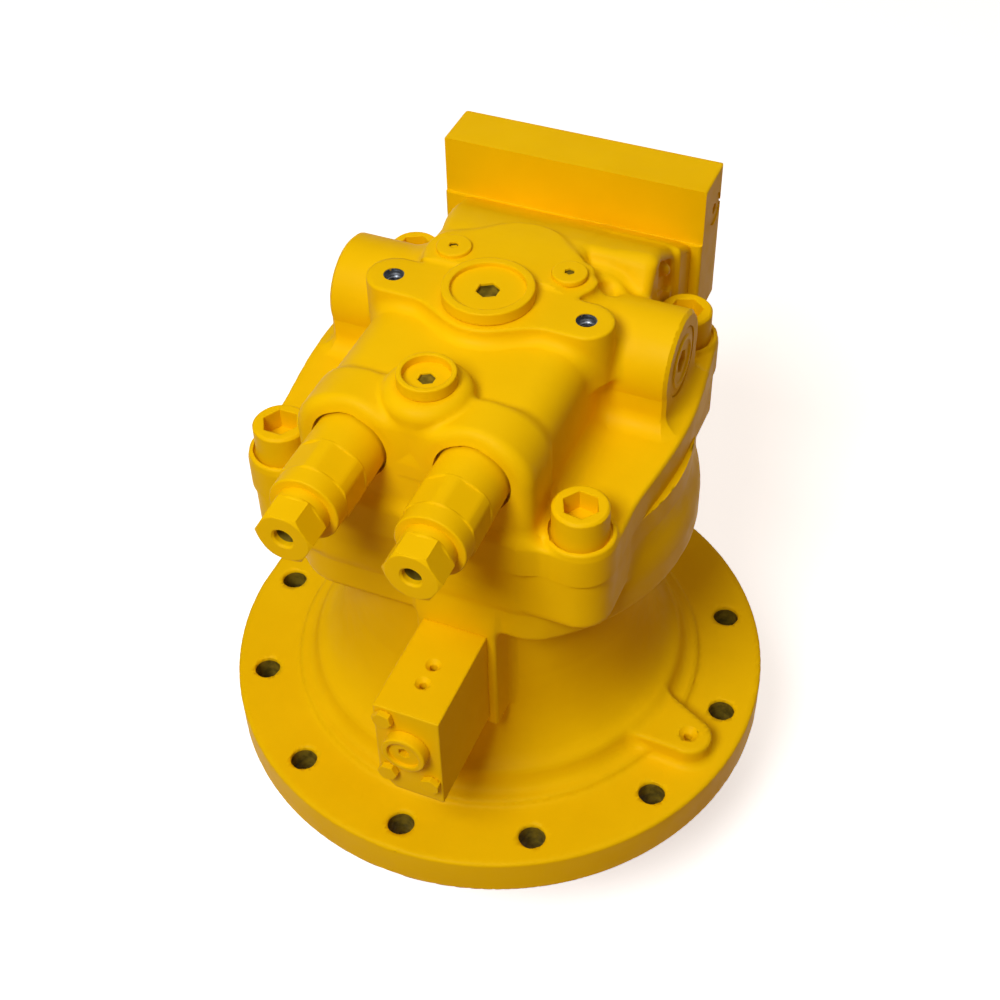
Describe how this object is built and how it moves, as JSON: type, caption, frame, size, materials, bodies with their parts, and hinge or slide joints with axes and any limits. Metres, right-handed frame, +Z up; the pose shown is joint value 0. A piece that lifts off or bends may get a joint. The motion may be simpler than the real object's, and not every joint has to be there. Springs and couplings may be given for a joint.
{
  "type": "swing motor",
  "caption": "Hydraulic swing motor with a round bolted flange, cast casing and cover, side relief valves, parking brake and splined output shaft.",
  "frame": {"origin": "on the shaft axis, in the mounting face of the flange", "axes": "+Z up along the shaft from the mounting face to the cover, -Y towards the relief valves, +Y towards the main ports, +X to the right seen from the relief valves"},
  "size_m": [0.33, 0.3369, 0.398],
  "materials": {
    "paint": "satin yellow enamel over castings",
    "steel": "ground",
    "bronze": "machined bronze",
    "lining": "moulded friction lining",
    "rubber": "smooth"
  },
  "bodies": {
    "casing": {"motor_casing": "paint", "valve_casing": "paint", "cover_bolts": "paint", "port_block": "paint", "port_block_bolts": "paint", "port_block_plugs": "paint", "brake_valve_block": "paint", "brake_valve_bolts": "paint", "brake_valve_plug": "paint", "relief_sleeve_left": "paint", "relief_sleeve_right": "paint", "relief_cap_left": "paint", "relief_cap_right": "paint", "centre_plug": "paint", "gauge_plugs": "paint", "front_plug": "paint", "check_plug_left": "paint", "check_plug_right": "paint", "cover_seal": "rubber", "dowel_pins": "steel", "port_block_seals": "rubber", "brake_valve_spring": "steel", "relief_spring_left": "steel", "relief_spring_right": "steel", "check_spring_left": "steel", "check_spring_right": "steel", "valve_plate": "bronze", "swash_plate": "steel", "bearing_outer": "steel", "upper_bearing": "steel", "shaft_seal": "rubber", "snap_ring": "steel", "separator_plates": "steel", "brake_springs": "steel", "spigot_seal": "rubber"},
    "rotor": {"drive_shaft": "steel", "cylinder_block": "bronze", "block_spring": "steel", "retainer_guide": "steel", "friction_plates": "lining", "bearing_inner": "steel"},
    "roller_set": {"bearing_rollers": "steel"},
    "shoe_ring": {"shoes": "bronze", "retainer_plate": "steel"},
    "brake_piston": {"brake_piston": "steel"},
    "relief_poppet_left": {"relief_poppet_left": "steel"},
    "relief_poppet_right": {"relief_poppet_right": "steel"},
    "check_poppet_left": {"check_poppet_left": "steel"},
    "check_poppet_right": {"check_poppet_right": "steel"},
    "brake_spool": {"brake_valve_spool": "steel"},
    "piston_1": {"piston_1": "steel"},
    "piston_2": {"piston_2": "steel"},
    "piston_3": {"piston_3": "steel"},
    "piston_4": {"piston_4": "steel"},
    "piston_5": {"piston_5": "steel"},
    "piston_6": {"piston_6": "steel"},
    "piston_7": {"piston_7": "steel"},
    "piston_8": {"piston_8": "steel"},
    "piston_9": {"piston_9": "steel"}
  },
  "joints": [
    {"name": "rotor_spin", "type": "hinge", "parent": "casing", "child": "rotor", "pos_m": [0, 0, 0], "axis": [0, 0, 1], "continuous": true},
    {"name": "roller_orbit", "type": "hinge", "parent": "casing", "child": "roller_set", "pos_m": [0, 0, 0.029], "axis": [0, 0, 1], "continuous": true},
    {"name": "shoe_ring_spin", "type": "hinge", "parent": "casing", "child": "shoe_ring", "pos_m": [0, 0, 0.088], "axis": [0, -0.225, 0.9744], "continuous": true},
    {"name": "piston_1_turn", "type": "hinge", "parent": "shoe_ring", "child": "piston_1", "pos_m": [0.04761, 0, 0.088], "axis": [0, -0.225, 0.9744], "continuous": true},
    {"name": "piston_2_turn", "type": "hinge", "parent": "shoe_ring", "child": "piston_2", "pos_m": [0.03647, 0.02982, 0.09488], "axis": [0, -0.225, 0.9744], "continuous": true},
    {"name": "piston_3_turn", "type": "hinge", "parent": "shoe_ring", "child": "piston_3", "pos_m": [0.00827, 0.04569, 0.09855], "axis": [0, -0.225, 0.9744], "continuous": true},
    {"name": "piston_4_turn", "type": "hinge", "parent": "shoe_ring", "child": "piston_4", "pos_m": [-0.02381, 0.04017, 0.09728], "axis": [0, -0.225, 0.9744], "continuous": true},
    {"name": "piston_5_turn", "type": "hinge", "parent": "shoe_ring", "child": "piston_5", "pos_m": [-0.04474, 0.01587, 0.09166], "axis": [0, -0.225, 0.9744], "continuous": true},
    {"name": "piston_6_turn", "type": "hinge", "parent": "shoe_ring", "child": "piston_6", "pos_m": [-0.04474, -0.01587, 0.08434], "axis": [0, -0.225, 0.9744], "continuous": true},
    {"name": "piston_7_turn", "type": "hinge", "parent": "shoe_ring", "child": "piston_7", "pos_m": [-0.02381, -0.04017, 0.07872], "axis": [0, -0.225, 0.9744], "continuous": true},
    {"name": "piston_8_turn", "type": "hinge", "parent": "shoe_ring", "child": "piston_8", "pos_m": [0.00827, -0.04569, 0.07745], "axis": [0, -0.225, 0.9744], "continuous": true},
    {"name": "piston_9_turn", "type": "hinge", "parent": "shoe_ring", "child": "piston_9", "pos_m": [0.03647, -0.02982, 0.08112], "axis": [0, -0.225, 0.9744], "continuous": true},
    {"name": "brake_piston_lift", "type": "slide", "parent": "casing", "child": "brake_piston", "axis": [0, 0, 1], "range_m": [0, 0.0025], "stiffness_N_per_m": 8000, "deforming": ["brake_springs"]},
    {"name": "relief_lift_left", "type": "slide", "parent": "casing", "child": "relief_poppet_left", "axis": [0, -1, 0], "range_m": [0, 0.0025], "stiffness_N_per_m": 300, "deforming": ["relief_spring_left"]},
    {"name": "check_lift_left", "type": "slide", "parent": "casing", "child": "check_poppet_left", "axis": [-1, 0, 0], "range_m": [0, 0.005], "stiffness_N_per_m": 200, "deforming": ["check_spring_left"]},
    {"name": "relief_lift_right", "type": "slide", "parent": "casing", "child": "relief_poppet_right", "axis": [0, -1, 0], "range_m": [0, 0.0025], "stiffness_N_per_m": 300, "deforming": ["relief_spring_right"]},
    {"name": "check_lift_right", "type": "slide", "parent": "casing", "child": "check_poppet_right", "axis": [1, 0, 0], "range_m": [0, 0.005], "stiffness_N_per_m": 200, "deforming": ["check_spring_right"]},
    {"name": "brake_spool_shift", "type": "slide", "parent": "casing", "child": "brake_spool", "axis": [0, -1, 0], "range_m": [0, 0.005], "stiffness_N_per_m": 300, "deforming": ["brake_valve_spring"]}
  ],
  "couplings": [
    {"joint": "roller_orbit", "follows": "rotor_spin", "ratio": 0.39744},
    {"joint": "shoe_ring_spin", "follows": "rotor_spin", "ratio": 1},
    {"joint": "piston_1_turn", "follows": "rotor_spin", "ratio": -1},
    {"joint": "piston_2_turn", "follows": "rotor_spin", "ratio": -1},
    {"joint": "piston_3_turn", "follows": "rotor_spin", "ratio": -1},
    {"joint": "piston_4_turn", "follows": "rotor_spin", "ratio": -1},
    {"joint": "piston_5_turn", "follows": "rotor_spin", "ratio": -1},
    {"joint": "piston_6_turn", "follows": "rotor_spin", "ratio": -1},
    {"joint": "piston_7_turn", "follows": "rotor_spin", "ratio": -1},
    {"joint": "piston_8_turn", "follows": "rotor_spin", "ratio": -1},
    {"joint": "piston_9_turn", "follows": "rotor_spin", "ratio": -1}
  ]
}
